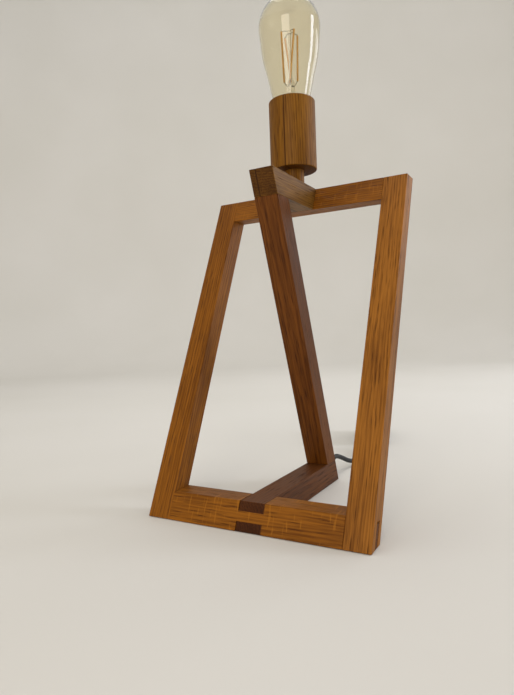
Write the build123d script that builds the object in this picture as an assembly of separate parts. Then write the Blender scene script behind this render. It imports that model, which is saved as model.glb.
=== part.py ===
"""Oak table lamp: a leaning rectangular frame crossed by a leaning centre leg, with a screw-in bulb.

Millimetres. +X is to the right along the front rail, +Y is to the back, +Z is up.
The origin is on the surface the lamp stands on, under the middle of its oak frame.
"""
from build123d import *
import os
from math import cos, pi, radians, sin, tan

os.makedirs("parts", exist_ok=True)

# ---- oak frame: driving dimensions ----
FRAME_HEIGHT = 326.0
FRAME_WIDTH = 220.5
BASE_DEPTH = 190.0
FRAME_LEAN = radians(24.7)      # the front frame leans back by this
LEG_LEAN = radians(20.0)        # the centre leg leans forward by this
LEG_WIDTH = 24.0                # the two frame legs, seen from the front
FRAME_THICK = 21.0              # square to the frame's face
RAIL_HEIGHT = 24.0
CENTRE_WIDTH = 25.0             # base rail, centre leg and top arm
CENTRE_THICK = 22.5             # the centre leg, square to its face
EASED = 0.6                     # radius on every long edge
STRIP_SHARE = 0.27              # of the centre width, glued on over the cord groove
GLUE_VEE = 0.7                  # depth of the V along the arm's glue line
BRIDLE_GAP = 0.35               # each side of the base rail's prongs
TENON_HEIGHT = 18.0
MORTISE_HEIGHT = 19.5
TOP_TENON_LONG = 15.0
DOWEL_DIA = 5.0
DOWEL_LONG = 24.0

# ---- lampholder and its oak cover ----
HOLDER_Y = 26.3                 # the lampholder's upright axis
NECK_DIA, NECK_HIGH = 21.0, 14.0
COVER_DIA, COVER_HIGH = 48.0, 71.0
COVER_WALL, COVER_FLOOR = 3.4, 8.0
NIPPLE_DIA, NIPPLE_BORE = 10.0, 7.0
NIPPLE_INTO_ARM = 8.0
CAP_BELOW_RIM = 10.0            # top edge of the bulb's cap under the cover's rim

# ---- bulb ----
CAP_DIA, CAP_HIGH = 26.0, 27.0
THREAD_PITCH = 3.629
BULB_DIA = 64.0
BULB_TOP = 108.5                # above the cover's rim
BULB_WIDEST = 75.0              # above the cover's rim
GLASS_WALL = 0.9

# ---- cord ----
CORD_DIA = 5.5
CORD_LENGTH = 1800.0
BORE_DIA = 8.0
INSIDE_BEND = 8.0
EXIT_Z = 14.0
CORD_LIES = CORD_DIA / 2 + 0.2  # height of its middle when it lies on the surface
PUT_AWAY = radians(106.1)       # heading of the switch, hank and plug, from +X

HALF_WIDTH = FRAME_WIDTH / 2
HALF_CENTRE = CENTRE_WIDTH / 2
FRAME_ACROSS = FRAME_THICK / cos(FRAME_LEAN)      # the same thickness, level
CENTRE_ACROSS = CENTRE_THICK / cos(LEG_LEAN)
GLUE_X = -HALF_CENTRE + STRIP_SHARE * CENTRE_WIDTH
THIRD = RAIL_HEIGHT / 3
ARM_Z = FRAME_HEIGHT - RAIL_HEIGHT
RIM_Z = FRAME_HEIGHT + NECK_HIGH + COVER_HIGH
COVER_Z = FRAME_HEIGHT + NECK_HIGH
CAP_TOP = RIM_Z - CAP_BELOW_RIM
CAP_BASE = CAP_TOP - CAP_HIGH

nodes = {}


def front_y(z):
    """The leaning frame's front face."""
    return -BASE_DEPTH / 2 + z * tan(FRAME_LEAN)


def back_y(z):
    """The leaning frame's back face."""
    return front_y(z) + FRAME_ACROSS


def leg_back_y(z):
    """The centre leg's back face, which also cuts the base rail's rear end."""
    return BASE_DEPTH / 2 - z * tan(LEG_LEAN)


def leg_front_y(z):
    """The centre leg's front face, which also cuts the arm's front end."""
    return leg_back_y(z) - CENTRE_ACROSS


def leg_middle_y(z):
    return leg_back_y(z) - CENTRE_ACROSS / 2


def side_prism(outline, x_low, x_high):
    """A solid between two X planes from an outline of (y, z) points."""
    face = make_face(Polyline(*[(x_low, y, z) for y, z in outline], close=True))
    return extrude(face, amount=x_high - x_low, dir=(1, 0, 0))


def frame_band(z_low, z_high, share_low=0.0, share_high=1.0):
    """Outline of the leaning frame between two heights, and two shares of its thickness."""
    near = share_low * FRAME_ACROSS
    far = share_high * FRAME_ACROSS
    return [
        (front_y(z_low) + near, z_low),
        (front_y(z_low) + far, z_low),
        (front_y(z_high) + far, z_high),
        (front_y(z_high) + near, z_high),
    ]


def leg_band(z_low, z_high):
    """Outline of the centre leg between two heights."""
    return [
        (leg_front_y(z_low), z_low),
        (leg_back_y(z_low), z_low),
        (leg_back_y(z_high), z_high),
        (leg_front_y(z_high), z_high),
    ]


def eased(block, radius=EASED):
    """The block with its edges rounded, as after sanding."""
    return fillet(block.edges(), radius)


def tube(x, y, z, outer, inner, high):
    """An upright ring."""
    ring = Circle(outer / 2) - Circle(inner / 2) if inner else Circle(outer / 2)
    return extrude(Plane((x, y, z)) * ring, amount=high)


def rod(start, end, diameter):
    """A round rod between two points."""
    a, b = Vector(*start), Vector(*end)
    axis = b - a
    return extrude(Plane(origin=a, z_dir=axis) * Circle(diameter / 2), amount=axis.length)


def turned(outline, y=HOLDER_Y):
    """A solid turned about the lampholder's axis from (radius, z) points."""
    face = make_face(Polyline(*[(r, 0, z) for r, z in outline], close=True))
    return Pos(0, y, 0) * revolve(face, Axis.Z)


# ---- front frame ----
MIDDLE = (1 / 3, 2 / 3)         # the tenons take the middle third of the thickness
TENON_SHOULDER = (4.5, 6.5)     # under and over the top rail's hidden tenon
TOP_TENON = (ARM_Z + TENON_SHOULDER[0], FRAME_HEIGHT - TENON_SHOULDER[1])
MORTISE_PLAY = 0.5              # past the hidden tenon's end
TENON_RECESS = 0.3              # the front rail's tenons stop this far inside the legs' faces


def frame_leg(side):
    inner = HALF_WIDTH - LEG_WIDTH
    low, high = sorted((side * inner, side * HALF_WIDTH))
    leg = eased(side_prism(frame_band(0, FRAME_HEIGHT), low, high))
    leg -= side_prism(frame_band(0, MORTISE_HEIGHT, *MIDDLE), low, high)
    stub = sorted((side * inner, side * (inner + TOP_TENON_LONG + MORTISE_PLAY)))
    return leg - side_prism(frame_band(*TOP_TENON, *MIDDLE), *stub)


nodes["left_leg"] = frame_leg(-1)
nodes["right_leg"] = frame_leg(1)

rail_end = HALF_WIDTH - LEG_WIDTH
tenon_end = HALF_WIDTH - TENON_RECESS
notch = HALF_CENTRE + BRIDLE_GAP
front_rail = eased(side_prism(frame_band(0, RAIL_HEIGHT), -rail_end, rail_end))
front_rail += side_prism(frame_band(0, TENON_HEIGHT, *MIDDLE), -tenon_end, tenon_end)
front_rail -= side_prism(frame_band(2 * THIRD, RAIL_HEIGHT), -notch, notch)
front_rail -= side_prism(frame_band(0, THIRD), -notch, notch)
nodes["front_rail"] = front_rail

stub_end = rail_end + TOP_TENON_LONG
top_rail = eased(side_prism(frame_band(ARM_Z, FRAME_HEIGHT), -rail_end, rail_end))
top_rail += side_prism(frame_band(*TOP_TENON, *MIDDLE), -stub_end, stub_end)

# ---- dowels: two pairs in line with the centre leg, and one pair through the arm's end ----
DOWEL_X = 8.4                   # clear of the cord's bore
DOWEL_OFF = 5.0                 # each side of the leg's middle
leg_axis = Vector(0, -sin(LEG_LEAN), cos(LEG_LEAN))
leg_square = Vector(0, cos(LEG_LEAN), sin(LEG_LEAN))


def leg_dowels(z):
    """Two dowels along the leg's lean, across a level joint at height z."""
    middle = Vector(DOWEL_X, leg_middle_y(z), z)
    pair = []
    for off in (-DOWEL_OFF, DOWEL_OFF):
        centre = middle + leg_square * off
        reach = leg_axis * (DOWEL_LONG / 2)
        pair.append(rod(tuple(centre - reach), tuple(centre + reach), DOWEL_DIA))
    return pair


foot_dowels = leg_dowels(RAIL_HEIGHT)
head_dowels = leg_dowels(ARM_Z)
ARM_DOWEL_Z = FRAME_HEIGHT - RAIL_HEIGHT / 2
arm_end = front_y(ARM_DOWEL_Z)
arm_dowels = []
for x in (-DOWEL_X, DOWEL_X):
    start = (x, arm_end - DOWEL_LONG / 2, ARM_DOWEL_Z)
    arm_dowels.append(rod(start, (x, arm_end + DOWEL_LONG / 2, ARM_DOWEL_Z), DOWEL_DIA))
nodes["foot_dowels"] = Compound(foot_dowels)
nodes["head_dowels"] = Compound(head_dowels)
nodes["arm_dowels"] = Compound(arm_dowels)
for dowel in arm_dowels:
    top_rail -= dowel
nodes["top_rail"] = top_rail

# ---- cord route inside the oak, in the plane x = 0 ----
CHANNEL_Z = FRAME_HEIGHT - 17.0 # the cord's level run along the arm
SHEATH_END = COVER_Z + COVER_FLOOR + 6.0
exit_point = Vector(0, leg_back_y(EXIT_Z), EXIT_Z)
foot_corner = exit_point - leg_square * (CENTRE_THICK / 2)
inside_route = [
    Vector(0, HOLDER_Y, SHEATH_END),
    Vector(0, HOLDER_Y, CHANNEL_Z),
    Vector(0, leg_middle_y(CHANNEL_Z), CHANNEL_Z),
    foot_corner,
    exit_point,
]


def swept(route, radii, profile_at_start):
    """A profile carried along straight runs joined by tangent arcs."""
    path = FilletPolyline(*[tuple(p) for p in route], radius=radii)
    start = Plane(origin=path @ 0, x_dir=(1, 0, 0), z_dir=path % 0)
    return sweep(start * profile_at_start, path=path), path.length


three_bends = [INSIDE_BEND] * 3
nodes["cord_inside"], _ = swept(inside_route, three_bends, Circle(CORD_DIA / 2))
groove_top = Vector(0, HOLDER_Y, FRAME_HEIGHT - NIPPLE_INTO_ARM)
groove_route = [groove_top, *inside_route[1:]]
groove_wide = BORE_DIA / 2 - GLUE_X
groove_off = (BORE_DIA / 2 + GLUE_X) / 2
groove_profile = Pos(groove_off, 0) * Rectangle(groove_wide, BORE_DIA)
groove, _ = swept(groove_route, three_bends, groove_profile)
bore, _ = swept(groove_route, three_bends, Circle(BORE_DIA / 2))

# ---- base rail, centre leg and top arm ----
PRONG_BACK = 0.25               # the prongs' end grain sits this far behind the front face
outline = [
    (front_y(0) + PRONG_BACK, 0),
    (leg_back_y(0), 0),
    (leg_back_y(RAIL_HEIGHT), RAIL_HEIGHT),
    (front_y(RAIL_HEIGHT) + PRONG_BACK, RAIL_HEIGHT),
]
base_rail = eased(side_prism(outline, -HALF_CENTRE, HALF_CENTRE))
base_rail -= side_prism(frame_band(THIRD, 2 * THIRD), -HALF_CENTRE, HALF_CENTRE)
base_rail -= bore
for dowel in foot_dowels:
    base_rail -= dowel
nodes["base_rail"] = base_rail


def laminated(outline, cuts):
    """A member glued up from a wide piece, which takes the cuts, and a strip."""
    whole = eased(side_prism(outline, -HALF_CENTRE, HALF_CENTRE))
    reach = 2 * FRAME_HEIGHT
    split = Pos(GLUE_X + reach / 2, 0, 0) * Box(reach, reach, reach)
    wide, strip = whole & split, whole - split
    for cut in cuts:
        wide -= cut
    return wide, strip


leg_cuts = [groove, *foot_dowels, *head_dowels]
nodes["centre_leg"], nodes["centre_leg_strip"] = laminated(leg_band(RAIL_HEIGHT, ARM_Z), leg_cuts)

arm_outline = [
    (leg_front_y(ARM_Z), ARM_Z),
    (front_y(ARM_Z), ARM_Z),
    (front_y(FRAME_HEIGHT), FRAME_HEIGHT),
    (leg_front_y(FRAME_HEIGHT), FRAME_HEIGHT),
]
nipple_hole = tube(0, HOLDER_Y, FRAME_HEIGHT - NIPPLE_INTO_ARM, NIPPLE_DIA, 0, NIPPLE_INTO_ARM + 1)
wide, strip = laminated(arm_outline, [groove, nipple_hole, *head_dowels, *arm_dowels])
vee = [
    (GLUE_X - GLUE_VEE, FRAME_HEIGHT),
    (GLUE_X, FRAME_HEIGHT - GLUE_VEE),
    (GLUE_X + GLUE_VEE, FRAME_HEIGHT),
]
vee_face = make_face(Polyline(*[(x, -BASE_DEPTH, z) for x, z in vee], close=True))
glue_line = extrude(vee_face, amount=2 * BASE_DEPTH, dir=(0, 1, 0))
nodes["top_arm"] = wide - glue_line
nodes["top_arm_strip"] = strip - glue_line - arm_dowels[0]

# ---- turned oak neck and cover, on a threaded nipple ----
nodes["holder_neck"] = tube(0, HOLDER_Y, FRAME_HEIGHT, NECK_DIA, NIPPLE_DIA + 0.3, NECK_HIGH)
cover = tube(0, HOLDER_Y, COVER_Z, COVER_DIA, 0, COVER_HIGH)
cover = fillet(cover.edges().filter_by(GeomType.CIRCLE), 1.0)
inside = COVER_DIA - 2 * COVER_WALL
cover -= tube(0, HOLDER_Y, COVER_Z + COVER_FLOOR, inside, 0, COVER_HIGH)
cover -= tube(0, HOLDER_Y, COVER_Z - 1, NIPPLE_DIA + 0.3, 0, COVER_FLOOR + 2)
nodes["holder_cover"] = cover

floor_z = COVER_Z + COVER_FLOOR
WASHER_DIA, WASHER_THICK = 18.0, 1.0
NUT_ACROSS, NUT_THICK = 14.0, 4.0
nipple_low = FRAME_HEIGHT - NIPPLE_INTO_ARM
holder_z = floor_z + WASHER_THICK + NUT_THICK
BASE_THICK = 5.0
nipple_high = holder_z + BASE_THICK - 1.5
nodes["threaded_nipple"] = tube(0, HOLDER_Y, nipple_low, NIPPLE_DIA, NIPPLE_BORE, nipple_high - nipple_low)
nodes["lock_washer"] = tube(0, HOLDER_Y, floor_z, WASHER_DIA, NIPPLE_DIA + 0.1, WASHER_THICK)
nut = RegularPolygon(NUT_ACROSS / 2, 6, major_radius=False) - Circle(NIPPLE_DIA / 2 + 0.05)
nodes["lock_nut"] = extrude(Plane((0, HOLDER_Y, floor_z + WASHER_THICK)) * nut, amount=NUT_THICK)

# ---- lampholder: a cup on the nipple, a contact block, a threaded shell and a screwed sleeve ----
HOLDER_DIA, HOLDER_WALL = 39.0, 2.2
BLOCK_DIA, BLOCK_THICK = 33.0, 7.0
SHELL_BORE, SHELL_WALL = CAP_DIA + 0.8, 0.5
holder_bore = HOLDER_DIA - 2 * HOLDER_WALL
CUP_HIGH = 20.0
cup = tube(0, HOLDER_Y, holder_z, HOLDER_DIA, 0, CUP_HIGH)
cup -= tube(0, HOLDER_Y, holder_z + BASE_THICK, holder_bore, 0, CUP_HIGH)
cup -= tube(0, HOLDER_Y, holder_z - 1, NIPPLE_DIA + 0.1, 0, BASE_THICK + 2)
nodes["holder_cup"] = cup

block_z = CAP_BASE - 3.0 - BLOCK_THICK
block = tube(0, HOLDER_Y, block_z, BLOCK_DIA, 0, BLOCK_THICK)
SCREW_X, SCREW_DIA = 10.5, 3.0
WIRE_DIA = 2.0
for side in (-1, 1):
    block -= tube(side * SCREW_X, HOLDER_Y, block_z - 1, SCREW_DIA + 0.4, 0, BLOCK_THICK + 2)
nodes["contact_block"] = block

shell_z = block_z + BLOCK_THICK
SHELL_HIGH = 23.0
nodes["threaded_shell"] = tube(
    0, HOLDER_Y, shell_z, SHELL_BORE + 2 * SHELL_WALL, SHELL_BORE, SHELL_HIGH
)
sleeve_z = holder_z + CUP_HIGH
SLEEVE_TOP = RIM_Z - 6.0
LIP_THICK = 3.0
sleeve = tube(0, HOLDER_Y, sleeve_z, HOLDER_DIA, holder_bore, SLEEVE_TOP - sleeve_z)
sleeve += tube(0, HOLDER_Y, SLEEVE_TOP - LIP_THICK, holder_bore, SHELL_BORE + 2.6, LIP_THICK)
nodes["holder_sleeve"] = sleeve

TONGUE_THICK, TONGUE_WIDE = 0.6, 6.0
tongue_top = CAP_BASE - 0.3
tongue_outline = [
    (SCREW_X + 3, shell_z),
    (SCREW_X + 3, shell_z + TONGUE_THICK),
    (4, shell_z + TONGUE_THICK),
    (2, tongue_top),
    (-3, tongue_top),
    (-3, tongue_top - TONGUE_THICK),
    (1.6, tongue_top - TONGUE_THICK),
    (3.6, shell_z),
]
face = make_face(Polyline(*[(x, HOLDER_Y - TONGUE_WIDE / 2, z) for x, z in tongue_outline], close=True))
tongue = extrude(face, amount=TONGUE_WIDE, dir=(0, 1, 0))
tongue -= tube(SCREW_X, HOLDER_Y, shell_z - 1, SCREW_DIA, 0, 3)
tongue &= tube(0, HOLDER_Y, shell_z, SHELL_BORE - 0.4, 0, 5)
nodes["centre_contact"] = tongue
TAB_LONG = 7.0
tab = Box(TAB_LONG, TONGUE_WIDE, TONGUE_THICK)
tab = Pos(-SCREW_X + 1, HOLDER_Y, block_z - TONGUE_THICK / 2) * tab
tab -= tube(-SCREW_X, HOLDER_Y, block_z - 1, SCREW_DIA, 0, 3)
nodes["side_contact"] = tab

SCREW_HEAD_DIA, SCREW_HEAD_THICK = 5.0, 1.6
screws = []
for side in (-1, 1):
    under = block_z - (TONGUE_THICK if side < 0 else 0)
    shank = tube(side * SCREW_X, HOLDER_Y, under, SCREW_DIA, 0, BLOCK_THICK - 1)
    head = tube(side * SCREW_X, HOLDER_Y, under - SCREW_HEAD_THICK, SCREW_HEAD_DIA, 0, SCREW_HEAD_THICK)
    screws.append(shank + head)
nodes["terminal_screws"] = Compound(screws)

CORE_APART = 2.6                # between the two cores where the sheath ends
CORE_RISE, CORE_SPREAD_Z = 5.3, 6.3
CORE_BEND = 1.2
core_top = block_z - TONGUE_THICK - WIRE_DIA / 2
for name, side in (("live_core", 1), ("neutral_core", -1)):
    start_x = side * CORE_APART / 2
    end_x = side * (SCREW_X - SCREW_HEAD_DIA / 2 - WIRE_DIA / 2 - 0.1)
    core_route = [
        Vector(start_x, HOLDER_Y, SHEATH_END),
        Vector(start_x, HOLDER_Y, SHEATH_END + CORE_RISE),
        Vector(end_x, HOLDER_Y, SHEATH_END + CORE_SPREAD_Z),
        Vector(end_x, HOLDER_Y, core_top),
    ]
    path = FilletPolyline(*[tuple(p) for p in core_route], radius=[CORE_BEND, CORE_BEND])
    start = Plane(origin=path @ 0, z_dir=path % 0)
    nodes[name] = sweep(start * Circle(WIRE_DIA / 2), path=path)

# ---- bulb, in the order it is assembled: cap, insulator, contact, glass, stem, filaments ----
CAP_WALL = 0.3
INSULATOR_HIGH = 4.0
BUTTON_DIA, BUTTON_THICK = 9.0, 1.2
cap_outline = [
    (CAP_DIA / 2 - 5, CAP_BASE + INSULATOR_HIGH),
    (CAP_DIA / 2, CAP_BASE + INSULATOR_HIGH + 3.5),
    (CAP_DIA / 2, CAP_TOP),
    (CAP_DIA / 2 - CAP_WALL, CAP_TOP),
    (CAP_DIA / 2 - CAP_WALL, CAP_BASE + INSULATOR_HIGH + 3.8),
    (CAP_DIA / 2 - 5, CAP_BASE + INSULATOR_HIGH + 0.4),
]
nodes["bulb_cap"] = turned(cap_outline)
insulator_outline = [
    (0, CAP_BASE + BUTTON_THICK),
    (BUTTON_DIA / 2 + 0.5, CAP_BASE + BUTTON_THICK),
    (CAP_DIA / 2 - 5.05, CAP_BASE + INSULATOR_HIGH - 0.4),
    (CAP_DIA / 2 - 5.05, CAP_BASE + INSULATOR_HIGH + 0.8),
    (0, CAP_BASE + INSULATOR_HIGH + 0.8),
]
nodes["cap_insulator"] = turned(insulator_outline)
nodes["cap_button"] = tube(0, HOLDER_Y, CAP_BASE, BUTTON_DIA, 0, BUTTON_THICK)

NECK_RADIUS = CAP_DIA / 2 - CAP_WALL - 0.1
GLASS_FOOT = CAP_TOP - 8.0
FLANK = [(18.2, 0), (24.0, 25), (29.1, 47)]       # radius, and height over the cover's rim


def glass_skin(inset):
    """Half outline of the bulb's glass, drawn inwards by inset, closed along the axis."""
    widest = (BULB_DIA / 2 - inset, RIM_Z + BULB_WIDEST)
    top = (0, RIM_Z + BULB_TOP - inset)
    foot = (NECK_RADIUS - inset, GLASS_FOOT)
    shoulder = (NECK_RADIUS - inset, CAP_TOP + 0.2)
    flank_points = [shoulder, *[(r - inset, RIM_Z + z) for r, z in FLANK], widest]
    flank = Spline([(r, 0, z) for r, z in flank_points], tangents=[(0.25, 0, 1), (0, 0, 1)])
    part_way = (widest[0] * cos(pi / 4), 0, widest[1] + (top[1] - widest[1]) * sin(pi / 4))
    dome = Spline([(widest[0], 0, widest[1]), part_way, (0, 0, top[1])], tangents=[(0, 0, 1), (-1, 0, 0)])
    corners = [top, (0, foot[1]), foot, shoulder]
    closing = Polyline(*[(r, 0, z) for r, z in corners])
    return Pos(0, HOLDER_Y, 0) * revolve(make_face([flank, dome, closing]), Axis.Z)


open_foot = tube(0, HOLDER_Y, GLASS_FOOT - 1, 2 * (NECK_RADIUS - GLASS_WALL), 0, 3)
nodes["bulb_glass"] = glass_skin(0) - glass_skin(GLASS_WALL) - open_foot

STEM_TOP = RIM_Z + 26.0
ROD_TOP = RIM_Z + 74.0
stem_outline = [
    (0, GLASS_FOOT + 1),
    (NECK_RADIUS - GLASS_WALL - 0.2, GLASS_FOOT + 1),
    (NECK_RADIUS - GLASS_WALL - 0.2, GLASS_FOOT + 2),
    (6.0, CAP_TOP + 2),
    (4.2, RIM_Z + 8),
    (3.4, STEM_TOP - 4),
    (1.6, STEM_TOP),
    (1.3, ROD_TOP),
    (0, ROD_TOP),
]
nodes["glass_stem"] = turned(stem_outline)

FILAMENT_DIA, FILAMENTS = 2.0, 4
FILAMENT_LOW, FILAMENT_HIGH = RIM_Z + 22.0, RIM_Z + 70.0
RING_LOW, RING_HIGH, TWIST = 7.0, 9.5, radians(35)
WIRE_THIN = 0.8
filaments, supports = [], []
for i in range(FILAMENTS):
    turn = radians(20) + i * 2 * pi / FILAMENTS
    low = (RING_LOW * cos(turn), HOLDER_Y + RING_LOW * sin(turn), FILAMENT_LOW)
    high = (RING_HIGH * cos(turn + TWIST), HOLDER_Y + RING_HIGH * sin(turn + TWIST), FILAMENT_HIGH)
    filaments.append(rod(low, high, FILAMENT_DIA))
    stem_side = (1.7 * cos(turn), HOLDER_Y + 1.7 * sin(turn), STEM_TOP - 6)
    foot_gap = (low[0], low[1], low[2] - 0.6)
    supports.append(rod((4.1 * cos(turn), HOLDER_Y + 4.1 * sin(turn), RIM_Z + 17), foot_gap, WIRE_THIN))
    rod_side = (1.8 * cos(turn + TWIST), HOLDER_Y + 1.8 * sin(turn + TWIST), ROD_TOP - 1)
    supports.append(rod(rod_side, (high[0], high[1], high[2] + 0.8), WIRE_THIN))
nodes["led_filaments"] = Compound(filaments)
nodes["filament_wires"] = Compound(supports)
DRIVER_DIA, DRIVER_HIGH = 19.0, 10.0
nodes["driver_board"] = tube(0, HOLDER_Y, CAP_BASE + INSULATOR_HIGH + 5, DRIVER_DIA, 0, 1.6)

# ---- the free cord ----
along = Vector(cos(PUT_AWAY), sin(PUT_AWAY), 0)
across = Vector(sin(PUT_AWAY), -cos(PUT_AWAY), 0)
up = Vector(0, 0, 1)


def cord_radii(route):
    """0.45 of the shorter run at each corner, over the tangent of half the turn."""
    radii = []
    for before, corner, after in zip(route, route[1:], route[2:]):
        first, second = corner - before, after - corner
        turn = radians(first.get_angle(second))
        radii.append(0.45 * min(first.length, second.length) / tan(turn / 2))
    return radii


def cord_tube(route, name):
    radii = cord_radii(route)
    path = FilletPolyline(*[tuple(p) for p in route], radius=radii)
    start = Plane(origin=path @ 0, z_dir=path % 0)
    solid = sweep(start * Circle(CORD_DIA / 2), path=path)
    expected = pi * CORD_DIA ** 2 / 4 * path.length
    rounded = [round(r, 1) for r in radii]
    ratio = round(solid.volume / expected, 4)
    print(name, "radii", rounded, "length", round(path.length, 1), "volume ratio", ratio)
    return solid, path.length


RELIEF_LONG, RELIEF_BASE, RELIEF_TIP = 20.0, 10.5, 8.4
RELIEF_PLAY = 0.75              # round the cord, which bends inside


def relief(start, heading, long, base, tip, play):
    """A tapered sleeve round the cord, with flex slots and some play where the cord bends."""
    plane = Plane(origin=start, x_dir=across if abs(heading.Z) < 0.1 else Vector(1, 0, 0), z_dir=heading)
    cone = loft([plane * Circle(base / 2), plane.offset(long) * Circle(tip / 2)])
    cone -= extrude(plane * Circle(CORD_DIA / 2 + play), amount=long)
    for at in (0.45, 0.7):
        for turn in (0, 180):
            slot = Rot(0, 0, turn) * Pos(tip / 2, 0, at * long) * Box(3.0, 5.0, 1.2)
            cone -= plane.location * slot
    return cone


nodes["strain_relief"] = relief(
    exit_point, leg_square, RELIEF_LONG, RELIEF_BASE, RELIEF_TIP, RELIEF_PLAY
)

SWITCH_LONG, SWITCH_WIDE, SWITCH_THICK = 58.0, 26.0, 16.0
switch_near = Vector(15.0, 205.0, SWITCH_THICK / 2)
switch_far = switch_near + along * SWITCH_LONG
IN_SWITCH = 9.0                 # the cord is clamped this far inside each end
lead_route = [
    exit_point,
    Vector(0, 113.0, exit_point.Z + (113.0 - exit_point.Y) * tan(LEG_LEAN)),
    Vector(1.5, 138.0, 17.6),
    Vector(6.5, 158.0, 5.6),
    Vector(13.5, 181.0, 4.6),
    switch_near - along * 4,
    switch_near + along * IN_SWITCH,
]
nodes["cord_to_switch"], lead_length = cord_tube(lead_route, "cord to switch")


def local_plane(origin):
    """A plane with x along the put-away heading and z up."""
    return Plane(origin=origin, x_dir=along, z_dir=up)


switch_mid = switch_near + along * (SWITCH_LONG / 2)
switch_plane = local_plane(Vector(switch_mid.X, switch_mid.Y, 0))
SWITCH_CORNER, CASE_WALL = 9.0, 2.0
switch_form = RectangleRounded(SWITCH_LONG, SWITCH_WIDE, SWITCH_CORNER)
switch_form = extrude(switch_plane * switch_form, amount=SWITCH_THICK)
switch_form = fillet(switch_form.edges().filter_by(Plane.XY), 2.5)
inside_form = RectangleRounded(
    SWITCH_LONG - 2 * CASE_WALL, SWITCH_WIDE - 2 * CASE_WALL, SWITCH_CORNER - CASE_WALL
)
hollow = extrude(switch_plane.offset(CASE_WALL) * inside_form, amount=SWITCH_THICK - 2 * CASE_WALL)
cord_hole = rod(tuple(switch_near - along * 5), tuple(switch_far + along * 5), CORD_DIA + 0.4)
case = switch_form - hollow - cord_hole
PART_Z = SWITCH_THICK / 2
lower = switch_plane * (Pos(0, 0, PART_Z / 2) * Box(SWITCH_LONG + 4, SWITCH_WIDE + 4, PART_Z))
ROCKER_LONG, ROCKER_WIDE = 21.0, 13.0
END_GAP, SIDE_GAP = 0.8, 0.4
window = switch_plane * (
    Pos(0, 0, SWITCH_THICK) * Box(ROCKER_LONG + 2 * END_GAP, ROCKER_WIDE + 2 * SIDE_GAP, 8)
)
nodes["switch_base"] = case & lower
nodes["switch_cover"] = case - lower - window

PIVOT_Z = SWITCH_THICK - 4.0
ROCKER_TILT = 9.0               # degrees each side of level
ROCKER_RISE, ROCKER_SINK = 6.2, 3.4
rocker_outline = [
    (-ROCKER_LONG / 2, ROCKER_RISE - 1.6),
    (0, ROCKER_RISE - 3.2),
    (ROCKER_LONG / 2, ROCKER_RISE - 1.6),
    (ROCKER_LONG / 2 - 1.0, -1.0),
    (2.5, -ROCKER_SINK),
    (-2.5, -ROCKER_SINK),
    (-ROCKER_LONG / 2 + 1.0, -1.0),
]
rocker_face = make_face(Polyline(*[(x, 0, z) for x, z in rocker_outline], close=True))
rocker = extrude(rocker_face, amount=ROCKER_WIDE / 2, both=True)
PIVOT_DIA = 3.0
rocker -= extrude(Plane.XZ * Circle(PIVOT_DIA / 2 + 0.05), amount=ROCKER_WIDE, both=True)
pivot_place = switch_plane.offset(PIVOT_Z).location
nodes["switch_rocker"] = pivot_place * (Rot(0, -ROCKER_TILT, 0) * rocker)
pin_half = SWITCH_WIDE / 2 - 2.2
nodes["rocker_pin"] = pivot_place * extrude(Plane.XZ * Circle(PIVOT_DIA / 2), amount=pin_half, both=True)

contacts = []
for side in (-1, 1):
    terminal = Pos(side * 15.0, 5.6, 5.0) * Box(9.0, 6.0, 6.0)
    terminal -= Pos(side * 15.0, 5.6, 7.0) * Cylinder(1.4, 4.0)
    contacts.append(switch_plane * terminal)
nodes["switch_terminals"] = Compound(contacts)
clamps = [switch_plane * (Pos(side * 22.5, 0, 3.65) * Box(4.0, 14.0, 3.0)) for side in (-1, 1)]
nodes["cord_clamps"] = Compound(clamps)
CASE_SCREW_X, CASE_SCREW_Y = 20.0, -8.6
case_screws = []
for side in (-1, 1):
    shank = Pos(side * CASE_SCREW_X, CASE_SCREW_Y, 6.5) * Cylinder(1.25, 9.6)
    head = Pos(side * CASE_SCREW_X, CASE_SCREW_Y, 1.2) * Cylinder(2.3, 1.6)
    case_screws.append(switch_plane * (shank + head))
for screw in case_screws:
    nodes["switch_base"] -= screw
nodes["case_screws"] = Compound(case_screws)

# ---- the hank: a tied bundle of turns with a round loop at each end ----
LOOP_RADIUS = 17.5
HANK_HALF = 54.4
HANK_MIDDLE = Vector(-21.1, 337.6, 0)
HANK_TURNS = 5.75
PITCH = 5.7
FIRST_LIFT = 1.4
TIE_WIDE, TIE_THICK = 8.0, 1.2
hank_foot = TIE_THICK + 0.2
hank_high = hank_foot + CORD_DIA + FIRST_LIFT + HANK_TURNS * PITCH
hank_plane = local_plane(HANK_MIDDLE)
lobe = HANK_HALF - LOOP_RADIUS - CORD_DIA / 2
lobe_radius = LOOP_RADIUS + CORD_DIA / 2 + 0.4
waist = CORD_DIA + 0.8
plan = Pos(-lobe, 0) * Circle(lobe_radius) + Pos(lobe, 0) * Circle(lobe_radius)
for side in (-1, 1):
    neck = make_face(Polyline(
        (0, waist), (side * lobe / 2, lobe_radius * 0.7), (side * lobe, lobe_radius * 0.9),
        (side * lobe, -lobe_radius * 0.9), (side * lobe / 2, -lobe_radius * 0.7), (0, -waist), close=True,
    ))
    plan += neck
hank = extrude(hank_plane.offset(hank_foot) * plan, amount=hank_high - hank_foot)
nodes["cord_hank"] = hank

entry = HANK_MIDDLE - along * (lobe + lobe_radius) + up * (hank_foot + CORD_DIA / 2)
link_route = [
    switch_far - along * IN_SWITCH,
    switch_far + along * 5 - up * 0.2,
    entry - along * 9.5,
    entry,
]
nodes["cord_to_hank"], link_length = cord_tube(link_route, "cord to hank")

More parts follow.
